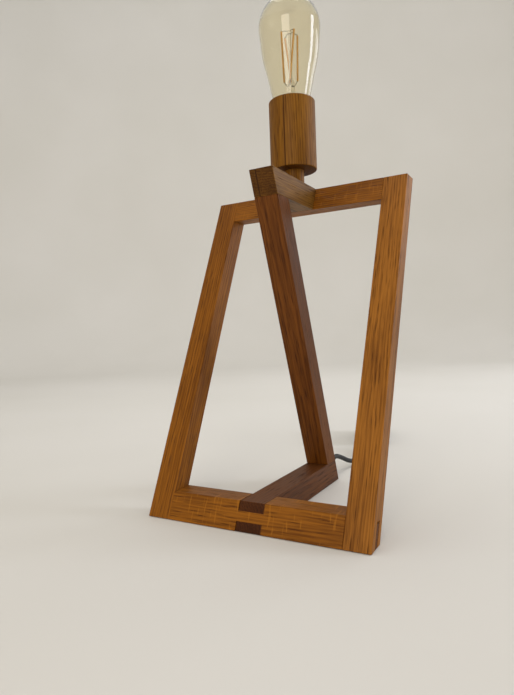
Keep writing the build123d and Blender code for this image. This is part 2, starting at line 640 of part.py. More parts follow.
tie_plane = Plane(origin=HANK_MIDDLE - along * (TIE_WIDE / 2), x_dir=across * -1, z_dir=along)
tie_high = hank_high + TIE_THICK
tie_half = waist + 2.6 + TIE_THICK
band = Pos(0, tie_high / 2) * RectangleRounded(2 * tie_half, tie_high, 2.0)
tie = extrude(tie_plane * band, amount=TIE_WIDE)
nodes["hank_tie"] = tie - hank

# ---- plug, lying on the hank ----
PLUG_LONG, PLUG_WIDE, PLUG_THICK = 35.0, 35.3, 13.7
PIN_DIA, PIN_LONG, PIN_PITCH = 4.0, 19.0, 18.6
PIN_SLEEVE_DIA, PIN_SLEEVE_LONG, PIN_CORE_DIA = 3.6, 10.0, 2.8
PLUG_RELIEF_LONG = 7.5
plug_z = hank_high + 0.2 + PLUG_THICK / 2
PLUG_BACK = 8.0                 # the plug's rear end along the hank, from the hank's middle
PLUG_SIDE = 2.0                 # and to its left


def on_hank(ahead, left, z):
    """A point from the hank's middle, along it, to its left and up."""
    return HANK_MIDDLE + along * ahead - across * left + up * z


plug_rear = on_hank(PLUG_BACK, PLUG_SIDE, plug_z)
tail_route = [
    on_hank(-44.0, 17.0, 43.9),
    on_hank(-30.0, 16.0, 44.2),
    on_hank(-6.0, 3.0, 48.0),
    on_hank(PLUG_BACK - 0.25, PLUG_SIDE, plug_z),
]
nodes["cord_to_plug"], tail_length = cord_tube(tail_route, "cord to plug")
relief_start = plug_rear - along * PLUG_RELIEF_LONG
nodes["plug_relief"] = relief(relief_start, along, PLUG_RELIEF_LONG, 8.6, 11.0, RELIEF_PLAY)

plug_plane = local_plane(plug_rear)
plug_outline = [(0, 7.5), (4, 9.5), (14, PLUG_WIDE / 2), (PLUG_LONG, PLUG_WIDE / 2)]
mirrored = [(x, -y) for x, y in reversed(plug_outline)]
plug_face = plug_plane.offset(-PLUG_THICK / 2) * make_face(Polyline(*plug_outline, *mirrored, close=True))
plug = extrude(plug_face, amount=PLUG_THICK)
plug = fillet(plug.edges(), 2.5)
pins, sleeves = [], []
for side in (-1, 1):
    root = plug_rear + along * PLUG_LONG + across * (side * PIN_PITCH / 2)
    bare = root + along * PIN_SLEEVE_LONG
    core = rod(tuple(root - along * 12), tuple(bare), PIN_CORE_DIA)
    pins.append(core + rod(tuple(bare), tuple(root + along * PIN_LONG), PIN_DIA))
    sleeves.append(rod(tuple(root), tuple(bare), PIN_SLEEVE_DIA) - core)
    plug -= core
nodes["plug_body"] = plug
nodes["plug_pins"] = Compound(pins)
nodes["pin_sleeves"] = Compound(sleeves)

through_switch = SWITCH_LONG - 2 * IN_SWITCH
hank_length = CORD_LENGTH - lead_length - through_switch - link_length - tail_length
print("cord wound in the hank", round(hank_length, 1), "turns", HANK_TURNS)

for name, shape in nodes.items():
    export_step(shape if isinstance(shape, Compound) else Compound(shape.solids()), f"parts/{name}.step")
print(len(nodes), "nodes")
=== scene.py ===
"""Oak table lamp: the look of its oak joinery, turned lampholder cover, filament bulb and mains cord.

Metres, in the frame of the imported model: +X along the front rail, +Y to the back, +Z up.
"""

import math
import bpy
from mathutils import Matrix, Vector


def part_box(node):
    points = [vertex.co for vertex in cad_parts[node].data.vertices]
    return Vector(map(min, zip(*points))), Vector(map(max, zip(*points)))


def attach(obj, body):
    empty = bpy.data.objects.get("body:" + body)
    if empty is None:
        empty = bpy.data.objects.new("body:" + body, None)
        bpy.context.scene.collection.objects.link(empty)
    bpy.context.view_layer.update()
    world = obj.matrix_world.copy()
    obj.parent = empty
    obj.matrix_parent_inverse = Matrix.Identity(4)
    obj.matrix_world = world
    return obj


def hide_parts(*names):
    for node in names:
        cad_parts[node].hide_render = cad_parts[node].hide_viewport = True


bl_info = {
    "name": "Oak table lamp",
    "version": (1, 0, 0),
    "blender": (4, 5, 0),
    "location": "View3D > Sidebar > Lamp",
    "description": "Builds the finish and fine detail of an oak table lamp round its packed frame",
    "category": "Object",
}

import bmesh
import bpy
from mathutils import Matrix, Vector

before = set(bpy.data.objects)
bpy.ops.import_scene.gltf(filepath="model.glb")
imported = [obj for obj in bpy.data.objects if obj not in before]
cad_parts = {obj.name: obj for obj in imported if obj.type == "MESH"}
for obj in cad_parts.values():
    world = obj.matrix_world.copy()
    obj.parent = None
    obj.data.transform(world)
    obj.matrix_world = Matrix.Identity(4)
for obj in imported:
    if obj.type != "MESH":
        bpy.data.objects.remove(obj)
MM = 0.001

# ---- places, from the frame ----
COVER_LOW, COVER_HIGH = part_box("holder_cover")
GLASS_LOW, GLASS_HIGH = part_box("bulb_glass")
CAP_LOW, CAP_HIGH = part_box("bulb_cap")
STEM_LOW, STEM_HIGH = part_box("glass_stem")
NECK_LOW, NECK_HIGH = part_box("holder_neck")
AXIS = Vector((0, (COVER_LOW.y + COVER_HIGH.y) / 2, 0))
RIM_Z = COVER_HIGH.z

# ---- the free cord's put-away line: switch, hank and plug lie along it ----
HEADING = math.radians(106.1)
ALONG = Vector((math.cos(HEADING), math.sin(HEADING), 0))
LEFT = Vector((-math.sin(HEADING), math.cos(HEADING), 0))
UP = Vector((0, 0, 1))
HANK_MIDDLE = Vector((-21.1, 337.6, 0)) * MM
LEG_LEAN = math.radians(20)          # the centre leg leans forward
FRAME_LEAN = math.radians(24.7)      # the front frame leans back
BOARD_SHIFT = 0.07                   # metres from one board's place in the tree to its neighbour's


# ======================================================================== small helpers
def linear(code, alpha=1.0):
    """An sRGB hex colour as linear RGBA."""
    parts = [int(code[i:i + 2], 16) / 255 for i in (1, 3, 5)]
    return (*[c / 12.92 if c <= 0.04045 else ((c + 0.055) / 1.055) ** 2.4 for c in parts], alpha)


def node(tree, kind, links=None, **settings):
    """Adds a node. Settings name its properties or its inputs; links maps an input to an output."""
    made = tree.nodes.new(kind)
    for key, value in settings.items():
        if hasattr(made, key):
            setattr(made, key, value)
        else:
            made.inputs[key.replace("_", " ")].default_value = value
    for key, source in (links or {}).items():
        tree.links.new(source, made.inputs[key])
    return made


def ramp(tree, source, stops):
    """A colour ramp from (place, linear colour) stops."""
    made = node(tree, "ShaderNodeValToRGB", {"Fac": source})
    while len(made.color_ramp.elements) < len(stops):
        made.color_ramp.elements.new(0.5)
    for element, (place, colour) in zip(made.color_ramp.elements, stops):
        element.position = place
        element.color = colour
    return made.outputs["Color"]


def new_material(name):
    """A material with an empty tree but for its shader and output."""
    material = bpy.data.materials.new(name)
    material.use_nodes = True
    tree = material.node_tree
    tree.nodes.clear()
    shader = tree.nodes.new("ShaderNodeBsdfPrincipled")
    output = tree.nodes.new("ShaderNodeOutputMaterial")
    tree.links.new(shader.outputs["BSDF"], output.inputs["Surface"])
    return material, tree, shader


def mixed(tree, kind, share, first, second):
    """Two colours mixed: kind is a blend type, share a number or an output."""
    made = node(tree, "ShaderNodeMix", data_type="RGBA", blend_type=kind)
    for place, value in ((0, share), (6, first), (7, second)):
        if isinstance(value, bpy.types.NodeSocket):
            tree.links.new(value, made.inputs[place])
        else:
            made.inputs[place].default_value = value
    return made.outputs[2]


def spread(tree, source, low, high, out_low=0.0, out_high=1.0):
    """A value carried from one range to another, held at both ends."""
    made = node(tree, "ShaderNodeMapRange", {"Value": source}, From_Min=low, From_Max=high)
    made.inputs["To Min"].default_value = out_low
    made.inputs["To Max"].default_value = out_high
    return made.outputs["Result"]


def calc(tree, operation, first, second):
    """A sum on two values, each a number or an output."""
    made = node(tree, "ShaderNodeMath", operation=operation)
    for place, value in ((0, first), (1, second)):
        if isinstance(value, bpy.types.NodeSocket):
            tree.links.new(value, made.inputs[place])
        else:
            made.inputs[place].default_value = value
    return made.outputs[0]


def mapped(tree, where, scale=(1, 1, 1), turn=(0, 0, 0), shift=(0, 0, 0)):
    """Texture places scaled, then turned, then moved."""
    made = node(tree, "ShaderNodeMapping", {"Vector": where})
    made.inputs["Scale"].default_value = scale
    made.inputs["Rotation"].default_value = turn
    made.inputs["Location"].default_value = shift
    return made.outputs["Vector"]


def noise(tree, where, scale, detail=2.0):
    """Noise with that many features to the metre."""
    return node(tree, "ShaderNodeTexNoise", {"Vector": where}, Scale=scale, Detail=detail)


def bumped(tree, shader, height, millimetres, strength=1.0):
    """Bump of that depth into the shader's normal."""
    bump = node(tree, "ShaderNodeBump", {"Height": height}, Distance=millimetres * MM, Strength=strength)
    tree.links.new(bump.outputs["Normal"], shader.inputs["Normal"])


def keep(name, mesh, material, body, stands_for=(), smooth=40.0):
    """A finished piece: its object, finish, body, and the CAD nodes that it stands for."""
    piece = bpy.data.objects.new(name, mesh)
    bpy.context.scene.collection.objects.link(piece)
    mesh.materials.clear()
    mesh.materials.append(material)
    mesh.shade_smooth()
    mesh.set_sharp_from_angle(angle=math.radians(smooth))
    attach(piece, body)
    if stands_for:
        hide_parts(*stands_for)


def finish_node(name, material):
    """A CAD node with its own finish."""
    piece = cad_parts[name]
    piece.data.materials.clear()
    piece.data.materials.append(material)


def mesh_from(bm, name):
    """The bmesh as a mesh, welded and facing outwards."""
    bmesh.ops.remove_doubles(bm, verts=bm.verts, dist=1e-7)
    bmesh.ops.recalc_face_normals(bm, faces=bm.faces)
    mesh = bpy.data.meshes.new(name)
    bm.to_mesh(mesh)
    bm.free()
    return mesh


def skin(bm, rings, closed=True):
    """Faces between neighbouring rings of vertices; a ring of one vertex is a pole."""
    steps = max(len(ring) for ring in rings)
    pairs = list(zip(rings, rings[1:]))
    if closed:
        pairs.append((rings[-1], rings[0]))
    for low, high in pairs:
        for i in range(steps):
            j = (i + 1) % steps
            corners = [low[i % len(low)], low[j % len(low)], high[j % len(high)], high[i % len(high)]]
            corners = list(dict.fromkeys(corners))
            if len(corners) > 2:
                bm.faces.new(corners)


def turned_mesh(name, outline, steps=96, closed=True):
    """A mesh turned about the lampholder's axis from (radius, z) points; a closed outline makes a ring."""
    bm = bmesh.new()
    rings = []
    for radius, z in outline:
        if radius < 1e-7:
            rings.append([bm.verts.new((AXIS.x, AXIS.y, z))])
            continue
        ring = []
        for i in range(steps):
            turn = 2 * math.pi * i / steps
            ring.append(bm.verts.new((radius * math.cos(turn), AXIS.y + radius * math.sin(turn), z)))
        rings.append(ring)
    skin(bm, rings, closed)
    return mesh_from(bm, name)


def quarter(centre, radius, start, stop, steps=5):
    """Points of an arc in an outline, by angles in degrees."""
    angles = [math.radians(start + (stop - start) * i / steps) for i in range(steps + 1)]
    return [(centre[0] + radius * math.cos(a), centre[1] + radius * math.sin(a)) for a in angles]


def realised(name, tree, source=None, **values):
    """The mesh that a Geometry Nodes tree makes, with its named inputs set by identifier."""
    start = source or bpy.data.meshes.new(name + "_start")
    holder = bpy.data.objects.new(name + "_holder", start)
    bpy.context.scene.collection.objects.link(holder)
    modifier = holder.modifiers.new("shape", "NODES")
    modifier.node_group = tree
    for item in tree.interface.items_tree:
        if item.item_type == "SOCKET" and item.in_out == "INPUT" and item.name in values:
            modifier[item.identifier] = values[item.name]
    graph = bpy.context.evaluated_depsgraph_get()
    mesh = bpy.data.meshes.new_from_object(holder.evaluated_get(graph))
    mesh.name = name
    holder.modifiers.clear()
    bpy.data.objects.remove(holder)
    return mesh


def geometry_tree(name, sockets):
    """An empty Geometry Nodes tree with its group input and output, and the named sockets."""
    tree = bpy.data.node_groups.new(name, "GeometryNodeTree")
    tree.interface.new_socket("Geometry", in_out="INPUT", socket_type="NodeSocketGeometry")
    tree.interface.new_socket("Geometry", in_out="OUTPUT", socket_type="NodeSocketGeometry")
    for label, kind in sockets:
        tree.interface.new_socket(label, in_out="INPUT", socket_type=kind)
    return tree, tree.nodes.new("NodeGroupInput"), tree.nodes.new("NodeGroupOutput")


def close_tree(tree, geometry, given, output):
    """Ends a tree in Realize Instances and Set Material."""
    real = node(tree, "GeometryNodeRealizeInstances", {"Geometry": geometry})
    links = {"Geometry": real.outputs["Geometry"], "Material": given.outputs["Finish"]}
    coated = node(tree, "GeometryNodeSetMaterial", links)
    tree.links.new(coated.outputs["Geometry"], output.inputs["Geometry"])


# ======================================================================== oak
LATE_WOOD = (0.66, 0.61, 0.52)      # each tone as a share of the heartwood's linear colour
EARLY_WOOD = (1.34, 1.38, 1.46)
OPEN_PORES = (0.26, 0.20, 0.14)
RAY_FLECKS = (1.75, 1.95, 2.30)
END_GRAIN = (0.52, 0.44, 0.36, 1.0)
RING_GAP = 2.6 * MM
RING_WANDER = 14 * MM
FIBRES_PER_METRE = 850.0            # streaks about 1.2 mm across, drawn coarser than real so that they show
PORES_PER_METRE = 700.0             # dashes 0.8 mm across and 11 mm long, in reality about half as wide
FLECKS_PER_METRE = 420.0
PORE_DEPTH = 0.22                   # mm


def toned(code, shares):
    """A hex colour with its linear channels multiplied by three shares."""
    return (*[min(1.0, c * share) for c, share in zip(linear(code), shares)], 1.0)


def oiled_oak(name, heartwood, grain, pith=(40, 25, 0), rays=0.0, glued_at=None):
    """Planed and oiled oak: growth lines and open pores run with the grain, the end grain is darker.

    grain is the direction of the grain, pith where the heart of the tree lies from the piece in mm,
    and glued_at the x of a glue line, past which another board with its own figure begins.
    """
    material, tree, shader = new_material(name)
    along = Vector(grain).normalized()
    turn = along.rotation_difference(UP).to_euler()
    place = node(tree, "ShaderNodeTexCoord")
    where = place.outputs["Object"]
    if glued_at is not None:
        apart = node(tree, "ShaderNodeSeparateXYZ", {"Vector": where})
        past = calc(tree, "SUBTRACT", apart.outputs["X"], glued_at)
        second_board = calc(tree, "MULTIPLY", calc(tree, "GREATER_THAN", past, 0.0), BOARD_SHIFT)
        moved = node(tree, "ShaderNodeVectorMath", {0: where, 1: second_board}, operation="ADD")
        where = moved.outputs["Vector"]
    board = mapped(tree, where, turn=turn, shift=Vector(pith) * MM)

    # Slow wander of the growth rings, a few millimetres over a hand's breadth of grain.
    stretched = mapped(tree, board, scale=(1, 1, 0.10))
    wander = noise(tree, stretched, 38.0, 3.0)
    bend = node(tree, "ShaderNodeVectorMath", {0: wander.outputs["Color"]}, operation="SCALE")
    bend.inputs["Scale"].default_value = RING_WANDER
    ring_place = node(tree, "ShaderNodeVectorMath", operation="ADD")
    tree.links.new(stretched, ring_place.inputs[0])
    tree.links.new(bend.outputs["Vector"], ring_place.inputs[1])
    # The wave repeats every 2 pi / (20 x scale) of a metre.
    rings = node(tree, "ShaderNodeTexWave", {"Vector": ring_place.outputs["Vector"]})
    rings.wave_type, rings.rings_direction, rings.wave_profile = "RINGS", "Z", "SIN"
    rings.inputs["Scale"].default_value = 2 * math.pi / 20 / RING_GAP
    rings.inputs["Distortion"].default_value = 2.2
    rings.inputs["Detail"].default_value = 2.0
    rings.inputs["Detail Scale"].default_value = 1.6

    fibres = noise(tree, mapped(tree, board, scale=(1, 1, 0.035)), FIBRES_PER_METRE, 3.0)
    pore_place = mapped(tree, board, scale=(1, 1, 0.07))
    pores = node(tree, "ShaderNodeTexVoronoi", {"Vector": pore_place}, Scale=PORES_PER_METRE)
    pore_mask = spread(tree, pores.outputs["Distance"], 0.14, 0.38, 1.0, 0.0)
    early = spread(tree, rings.outputs["Fac"], 0.25, 0.75)
    pore_mask = calc(tree, "MULTIPLY", pore_mask, spread(tree, early, 0.0, 1.0, 1.0, 0.25))
    # Slow change of colour from one part of the board to another.
    clouds = noise(tree, mapped(tree, board, scale=(1, 1, 0.22)), 45.0)

    streaks = calc(tree, "MULTIPLY", fibres.outputs["Fac"], 0.85)
    figure = calc(tree, "ADD", calc(tree, "MULTIPLY", early, 0.14), streaks)
    figure = calc(tree, "ADD", figure, spread(tree, clouds.outputs["Fac"], 0.3, 0.7, -0.16, 0.12))
    late, early_wood = toned(heartwood, LATE_WOOD), toned(heartwood, EARLY_WOOD)
    colour = ramp(tree, figure, [(0.28, late), (0.47, linear(heartwood)), (0.68, early_wood)])
    dark = toned(heartwood, OPEN_PORES)
    colour = mixed(tree, "MIX", calc(tree, "MULTIPLY", pore_mask, 0.80), colour, dark)
    if glued_at is not None:
        line = spread(tree, calc(tree, "ABSOLUTE", past, 0.0), 0.35 * MM, 1.0 * MM, 0.85, 0.0)
        colour = mixed(tree, "MIX", line, colour, dark)

    if rays:
        # Ray flecks: pale slanted dashes across the grain, 1.4 mm wide and up to 9 mm long.
        slanted = mapped(tree, board, scale=(0.13, 0.13, 1), turn=(0, math.radians(14), 0))
        flecks = noise(tree, slanted, FLECKS_PER_METRE, 1.0)
        fleck_mask = spread(tree, flecks.outputs["Fac"], 0.63, 0.70, 0.0, rays)
        colour = mixed(tree, "MIX", fleck_mask, colour, toned(heartwood, RAY_FLECKS))

    # End grain soaks up more oil, so it is darker and shows pores as dots.
    facing = node(tree, "ShaderNodeNewGeometry")
    lean = node(tree, "ShaderNodeVectorMath", {0: facing.outputs["Normal"]}, operation="DOT_PRODUCT")
    lean.inputs[1].default_value = along
    end_mask = spread(tree, calc(tree, "ABSOLUTE", lean.outputs["Value"], 0.0), 0.80, 0.93, 0.0, 1.0)
    ended = mixed(tree, "MULTIPLY", 1.0, colour, END_GRAIN)
    colour = mixed(tree, "MIX", end_mask, colour, ended)
    tree.links.new(colour, shader.inputs["Base Color"])

    polish = spread(tree, clouds.outputs["Fac"], 0.3, 0.7, 0.44, 0.56)
    gloss = calc(tree, "ADD", calc(tree, "MULTIPLY", pore_mask, 0.2), polish)
    tree.links.new(gloss, shader.inputs["Roughness"])
    shader.inputs["IOR"].default_value = 1.45
    shader.inputs["Specular IOR Level"].default_value = 0.16
    relief = calc(tree, "SUBTRACT", calc(tree, "MULTIPLY", fibres.outputs["Fac"], 0.35), pore_mask)
    bumped(tree, shader, relief, PORE_DEPTH, 0.8)
    return material


# ======================================================================== other finishes
def speckled(name, colour, darker, roughness, grain_mm, depth_mm, metallic=0.0, shine=None):
    """A finish with fine uneven tone: moulded, plated or cast surfaces."""
    material, tree, shader = new_material(name)
    place = node(tree, "ShaderNodeTexCoord")
    grit = noise(tree, place.outputs["Object"], 1 / (grain_mm * MM), 3.0)
    tone = noise(tree, place.outputs["Object"], 60.0)
    colour_out = ramp(tree, tone.outputs["Fac"], [(0.3, linear(darker)), (0.7, linear(colour))])
    tree.links.new(colour_out, shader.inputs["Base Color"])
    sheen = spread(tree, grit.outputs["Fac"], 0.3, 0.7, roughness - 0.06, roughness + 0.08)
    tree.links.new(sheen, shader.inputs["Roughness"])
    shader.inputs["Metallic"].default_value = metallic
    if shine:
        shader.inputs["Coat Weight"].default_value = shine
    bumped(tree, shader, grit.outputs["Fac"], depth_mm)
    return material


def thin_glass(name, tint, roughness=0.0):
    """Blown glass: nearly clear, tinted in its depth, with a trace of unevenness from blowing."""
    material, tree, shader = new_material(name)
    place = node(tree, "ShaderNodeTexCoord")
    waves = noise(tree, place.outputs["Object"], 55.0, 1.0)
    shader.inputs["Base Color"].default_value = linear(tint)
    shader.inputs["Transmission Weight"].default_value = 1.0
    shader.inputs["Roughness"].default_value = roughness
    shader.inputs["IOR"].default_value = 1.5
    bumped(tree, shader, waves.outputs["Fac"], 0.25, 0.25)
    return material


class LampLook(bpy.types.PropertyGroup):
    """Colours and sizes that a user would change."""

    frame_oak: bpy.props.StringProperty(
        name="Frame oak", description="Left leg and rails", default="#7F4C0F"
    )
    # Painted light: the right leg's heartwood is set paler and less saturated to stand in for the light and
    # sheen that fall on it from the right.
    right_leg_painted_light_oak: bpy.props.StringProperty(
        name="Right oak", description="Right leg, painted paler for light falling from the right", default="#8B571B"
    )
    base_oak: bpy.props.StringProperty(name="Base oak", description="Base rail", default="#573010")
    centre_oak: bpy.props.StringProperty(name="Centre oak", description="Centre leg", default="#62370F")
    arm_oak: bpy.props.StringProperty(name="Arm oak", description="Top arm", default="#75501B")
    cover_oak: bpy.props.StringProperty(
        name="Cover oak", description="Turned holder cover", default="#774D12"
    )
    glass_tint: bpy.props.StringProperty(name="Glass tint", description="Bulb glass", default="#FBF6E5")
    cord_diameter: bpy.props.FloatProperty(
        name="Cord diameter", description="Outside of the mains cord", default=5.5 * MM, unit="LENGTH"
    )
    cord_length: bpy.props.FloatProperty(
        name="Cord length", description="From the oak to the plug", default=1.8, unit="LENGTH"
    )
    hank_rise: bpy.props.FloatProperty(
        name="Hank rise", description="Height gained by each turn", default=5.7 * MM, unit="LENGTH"
    )
    camera_place: bpy.props.FloatVectorProperty(
        name="Camera", description="Where the camera stands", default=(0.2370, -0.4878, 0.1740),
        unit="LENGTH",
    )
    camera_heading: bpy.props.FloatProperty(
        name="Heading", description="Left of +Y", default=math.radians(29.32), subtype="ANGLE"
    )
    camera_pitch: bpy.props.FloatProperty(
        name="Pitch", description="Above level", default=math.radians(-1.667), subtype="ANGLE"
    )
    camera_roll: bpy.props.FloatProperty(
        name="Roll", description="Tilt about the line of sight", default=math.radians(-2.03), subtype="ANGLE"
    )
    camera_lens: bpy.props.FloatProperty(
        name="Lens", description="Focal length on a 36 mm frame", default=27.727, unit="CAMERA"
    )


# ======================================================================== stage
SWEEP_RADIUS, SWEEP_BEND, SWEEP_HIGH = 3.0, 1.0, 2.6
FLOOR_DROP = 0.4 * MM               # the floor lies a hair below the lamp's feet
LAMP_MIDDLE = (0, 0, 0.25)
SOFTBOXES = (                       # name, place, aimed at, width and height, watts, colour
    ("window", (1.77, 0.94, 0.7), LAMP_MIDDLE, (0.45, 1.5), 18.0, "#E9F0FF"),
    ("back_window", (0.9, 1.85, 0.9), LAMP_MIDDLE, (0.9, 0.9), 5.0, "#F4F6FF"),
    ("overhead", (-0.1, 0.3, 2.2), LAMP_MIDDLE, (1.6, 1.6), 12.0, "#FFFBF5"),
    ("front_soft", (0.4, -1.86, 0.65), LAMP_MIDDLE, (0.9, 1.2), 16.0, "#FFF4E2"),
    ("wall_wash", (-0.2, 0.8, 2.3), (-1.4, 2.6, 0.8), (1.2, 1.2), 16.0, "#FFFDFA"),
)


def soft_light(name, place, target, size, power, colour):
    """A rectangular softbox turned towards a point."""
    light = bpy.data.lights.new(name, "AREA")
    light.shape, light.size, light.size_y = "RECTANGLE", size[0], size[1]
    light.energy, light.color = power, linear(colour)[:3]
    lamp = bpy.data.objects.new(name, light)
    bpy.context.scene.collection.objects.link(lamp)
    lamp.location = place
    lamp.rotation_euler = (Vector(target) - Vector(place)).to_track_quat("-Z", "Y").to_euler()
    lamp.visible_camera = False
    lamp.visible_transmission = False       # so that a softbox behind the bulb doesn't light it up


class LAMP_OT_stage(bpy.types.Operator):
    """Camera, soft lights and a plain pale floor that curves up into a backdrop."""

    bl_idname = "lamp.stage"
    bl_label = "Stage"

    def execute(self, context):
        look = context.scene.lamp_look
        camera = bpy.data.cameras.new("camera")
        camera.sensor_width, camera.lens = 36.0, look.camera_lens
        camera.clip_start, camera.clip_end = 0.01, 50.0
        holder = bpy.data.objects.new("camera", camera)
        context.scene.collection.objects.link(holder)
        turn = Matrix.Rotation(look.camera_heading, 4, "Z")
        turn = turn @ Matrix.Rotation(math.pi / 2 + look.camera_pitch, 4, "X")
        turn = turn @ Matrix.Rotation(look.camera_roll, 4, "Z")
        holder.matrix_world = Matrix.Translation(look.camera_place) @ turn
        context.scene.camera = holder

        outline = [(0, -FLOOR_DROP), (0.5, -FLOOR_DROP), (1.2, -FLOOR_DROP)]
        outline += quarter((SWEEP_RADIUS - SWEEP_BEND, SWEEP_BEND), SWEEP_BEND, -90, 0, 16)
        outline.append((SWEEP_RADIUS, SWEEP_HIGH))
        mesh = turned_mesh("sweep", outline, 128, closed=False)
        mesh.flip_normals()
        material, tree, shader = new_material("matt_painted_backdrop")
        place = node(tree, "ShaderNodeTexCoord")
        tone = noise(tree, place.outputs["Object"], 2.0)
        stops = [(0.3, linear("#D6D3CC")), (0.7, linear("#DAD7D1"))]
        tree.links.new(ramp(tree, tone.outputs["Fac"], stops), shader.inputs["Base Color"])
        shader.inputs["Roughness"].default_value = 0.9
        floor = bpy.data.objects.new("floor", mesh)
        mesh.materials.append(material)
        mesh.shade_smooth()
        context.scene.collection.objects.link(floor)

        for softbox in SOFTBOXES:
            soft_light(*softbox)
        world = bpy.data.worlds.new("pale_room")
        world.use_nodes = True
        background = world.node_tree.nodes["Background"]
        background.inputs["Color"].default_value = linear("#EDEDEC")
        background.inputs["Strength"].default_value = 0.6
        context.scene.world = world
        context.scene.view_settings.view_transform = "Standard"
        return {"FINISHED"}


# ======================================================================== cord
def on_hank(ahead, left, z):
    """A point from the hank's middle, in mm: along it, to its left and up."""
    return HANK_MIDDLE + (ALONG * ahead + LEFT * left + UP * z) * MM


LEAD_ROUTE = (
    (0, 89.904, 14.0), (0, 113.0, 22.406), (1.2, 134.0, 16.0), (6.0, 155.0, 5.4), (13.5, 181.0, 4.6)
)
SWITCH_NEAR = Vector((15.0, 205.0, 8.0)) * MM
SWITCH_LONG = 58.0 * MM
SWITCH_FAR = SWITCH_NEAR + ALONG * SWITCH_LONG
HANK_FOOT = 4.15                # height in mm of the cord's middle on the first turn
FIRST_LIFT = 1.4                # more rise in mm where the first turn crosses the entry
LOBE = [(10, 3.2), (18.5, 9.8), (27.4, 17.5), (41.4, 17.5), (51.65, 7.25)]
WAIST_TURNS = 5.75
ENTRY_ROUTE = ((-64.3, 0), (-54.8, 0), (-40, 0.6), (-24, 2.4), (-8, 3.2))
PLUG_LOW, PLUG_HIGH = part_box("plug_body")
PLUG_Z = (PLUG_LOW.z + PLUG_HIGH.z) / 2 / MM
TAIL_ROUTE = (
    (-51.65, 7.25, 40.6), (-41.4, 17.5, 43.4), (-27.5, 17.0, 44.8), (-6.0, 3.0, 48.0), (7.75, 2.0, PLUG_Z)
)


def hank_points(rise):
    """The wound turns: out along one side, round the far loop, back, and round the near loop."""
    far_half = LOBE + [(a, -b) for a, b in reversed(LOBE)]
    whole = far_half + [(-a, -b) for a, b in far_half]
    points = []
    for i in range(round(WAIST_TURNS * len(whole))):
        turns = (i + 0.5) / len(whole)
        a, b = whole[i % len(whole)]
        z = HANK_FOOT + rise * turns + FIRST_LIFT * min(turns / 0.75, 1.0)
        points.append(on_hank(a, b, z))
    return points


class LAMP_OT_cord(bpy.types.Operator):
    """The mains cord from the oak through its switch to the hank and plug."""

    bl_idname = "lamp.cord"
    bl_label = "Mains cord"

    def execute(self, context):
        look = context.scene.lamp_look
        route = [Vector(p) * MM for p in LEAD_ROUTE]
        route += [SWITCH_NEAR - ALONG * 4 * MM, SWITCH_NEAR + ALONG * 9 * MM]
        route += [SWITCH_FAR - ALONG * 9 * MM, SWITCH_FAR + (ALONG * 5 - UP * 0.2) * MM]
        route += [on_hank(ahead, left, HANK_FOOT) for ahead, left in ENTRY_ROUTE]
        route += hank_points(look.hank_rise / MM)
        route += [on_hank(*point) for point in TAIL_ROUTE]
        curve = bpy.data.curves.new("mains_cord", "CURVE")
        curve.dimensions = "3D"
        spline = curve.splines.new("NURBS")
        spline.points.add(len(route) - 1)
        for point, place in zip(spline.points, route):
            point.co = (*place, 1.0)
        spline.order_u = 3
        spline.use_endpoint_u = True
        spline.resolution_u = 6
        curve.bevel_depth = look.cord_diameter / 2
        curve.bevel_resolution = 5
        curve.use_fill_caps = True
        sheath = speckled("pvc_sheath_satin", "#0D0D0F", "#070708", 0.55, 0.7, 0.03)
        curve.materials.append(sheath)
        cord = bpy.data.objects.new("mains_cord", curve)
        context.scene.collection.objects.link(cord)
        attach(cord, "root")
        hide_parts("cord_to_switch", "cord_to_hank", "cord_to_plug", "cord_hank")
        finish_node("cord_inside", sheath)
        return {"FINISHED"}


def relief_mesh(name, start, heading, long, base, tip, ribs):
    """A tapered sleeve with grooves between its ribs, round the cord and closed at both ends."""
    side = heading.orthogonal().normalized()
    other = heading.cross(side)
    inside = bpy.context.scene.lamp_look.cord_diameter / 2 + RELIEF_PLAY
    outline = [(0.0, base / 2)]
    for i in range(ribs):
        at, step = (i + 0.5) / ribs, 0.30 / ribs
        here = base / 2 + (tip - base) / 2 * at
        outline += [(at - step, here), (at - step * 0.7, here - GROOVE_DEPTH)]
        outline += [(at + step * 0.7, here - GROOVE_DEPTH), (at + step, here)]
    outline += [(0.97, tip / 2), (1.0, tip / 2 - 0.4 * MM), (1.0, inside), (0.0, inside)]
    steps = 40
    bm = bmesh.new()
    rings = []
    for share, radius in outline:
        ring = []
        for i in range(steps):
            turn = 2 * math.pi * i / steps
            out = (side * math.cos(turn) + other * math.sin(turn)) * radius
            ring.append(bm.verts.new(start + heading * (long * share) + out))
        rings.append(ring)
    skin(bm, rings)
    return mesh_from(bm, name)


EXIT = Vector(LEAD_ROUTE[0]) * MM
RELIEF_HEADING = Vector((0, math.cos(LEG_LEAN), math.sin(LEG_LEAN)))
TIE_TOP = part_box("hank_tie")[1].z
PLUG_REAR = on_hank(8.0, 2.0, PLUG_Z)
RELIEF_PLAY = 0.75 * MM             # between the cord and its sleeves
GROOVE_DEPTH = 0.55 * MM
STRAP_WIDE, STRAP_THICK, STRAP_CORNER = 8.0, 1.1, 3.0       # mm
STRAP_HALF, STRAP_LOW, STRAP_HIGH = 7.6, 0.25, TIE_TOP / MM - 0.1
WEAVE = 0.9 * MM


